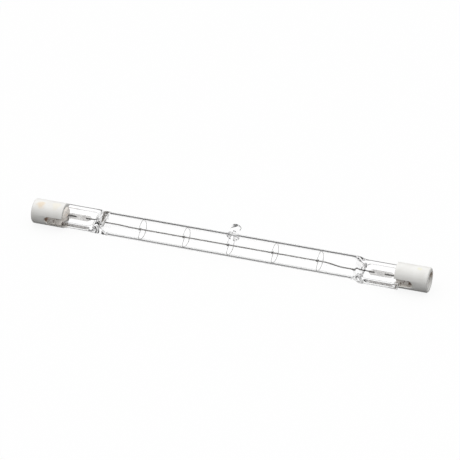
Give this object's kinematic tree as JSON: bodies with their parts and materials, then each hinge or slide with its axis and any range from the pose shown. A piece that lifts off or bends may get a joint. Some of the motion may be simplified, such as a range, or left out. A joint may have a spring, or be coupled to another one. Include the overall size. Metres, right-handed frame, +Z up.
{
  "type": "quartz halogen bulb",
  "caption": "Clear double-ended linear halogen lamp: quartz tube with pressed seals, coiled filament on wire supports and a ceramic cap with a recessed contact at each end.",
  "frame": {"origin": "on the lamp's axis, halfway between the outer faces of the caps", "axes": "+X along the lamp towards the cap whose seal is shorter inside it, +Y to the side with the tip-off, +Z up as the lamp lies"},
  "size_m": [0.1176, 0.0128, 0.0072],
  "materials": {
    "quartz": "clear fused quartz",
    "tungsten": "drawn tungsten wire",
    "molybdenum": "drawn molybdenum rod",
    "foil": "thin rolled molybdenum foil",
    "ceramic": "matt off-white steatite",
    "contact": "dull nickel-plated contact",
    "cement": "buff lamp cement"
  },
  "bodies": {
    "root": {"quartz_envelope": "quartz", "filament": "tungsten", "filament_support_1": "tungsten", "filament_support_2": "tungsten", "filament_support_3": "tungsten", "filament_support_4": "tungsten", "filament_support_5": "tungsten", "left_inner_lead": "molybdenum", "right_inner_lead": "molybdenum", "left_foil": "foil", "right_foil": "foil", "left_outer_lead": "molybdenum", "right_outer_lead": "molybdenum", "left_cap": "ceramic", "right_cap": "ceramic", "left_contact": "contact", "right_contact": "contact", "left_cement": "cement", "right_cement": "cement"}
  },
  "joints": []
}
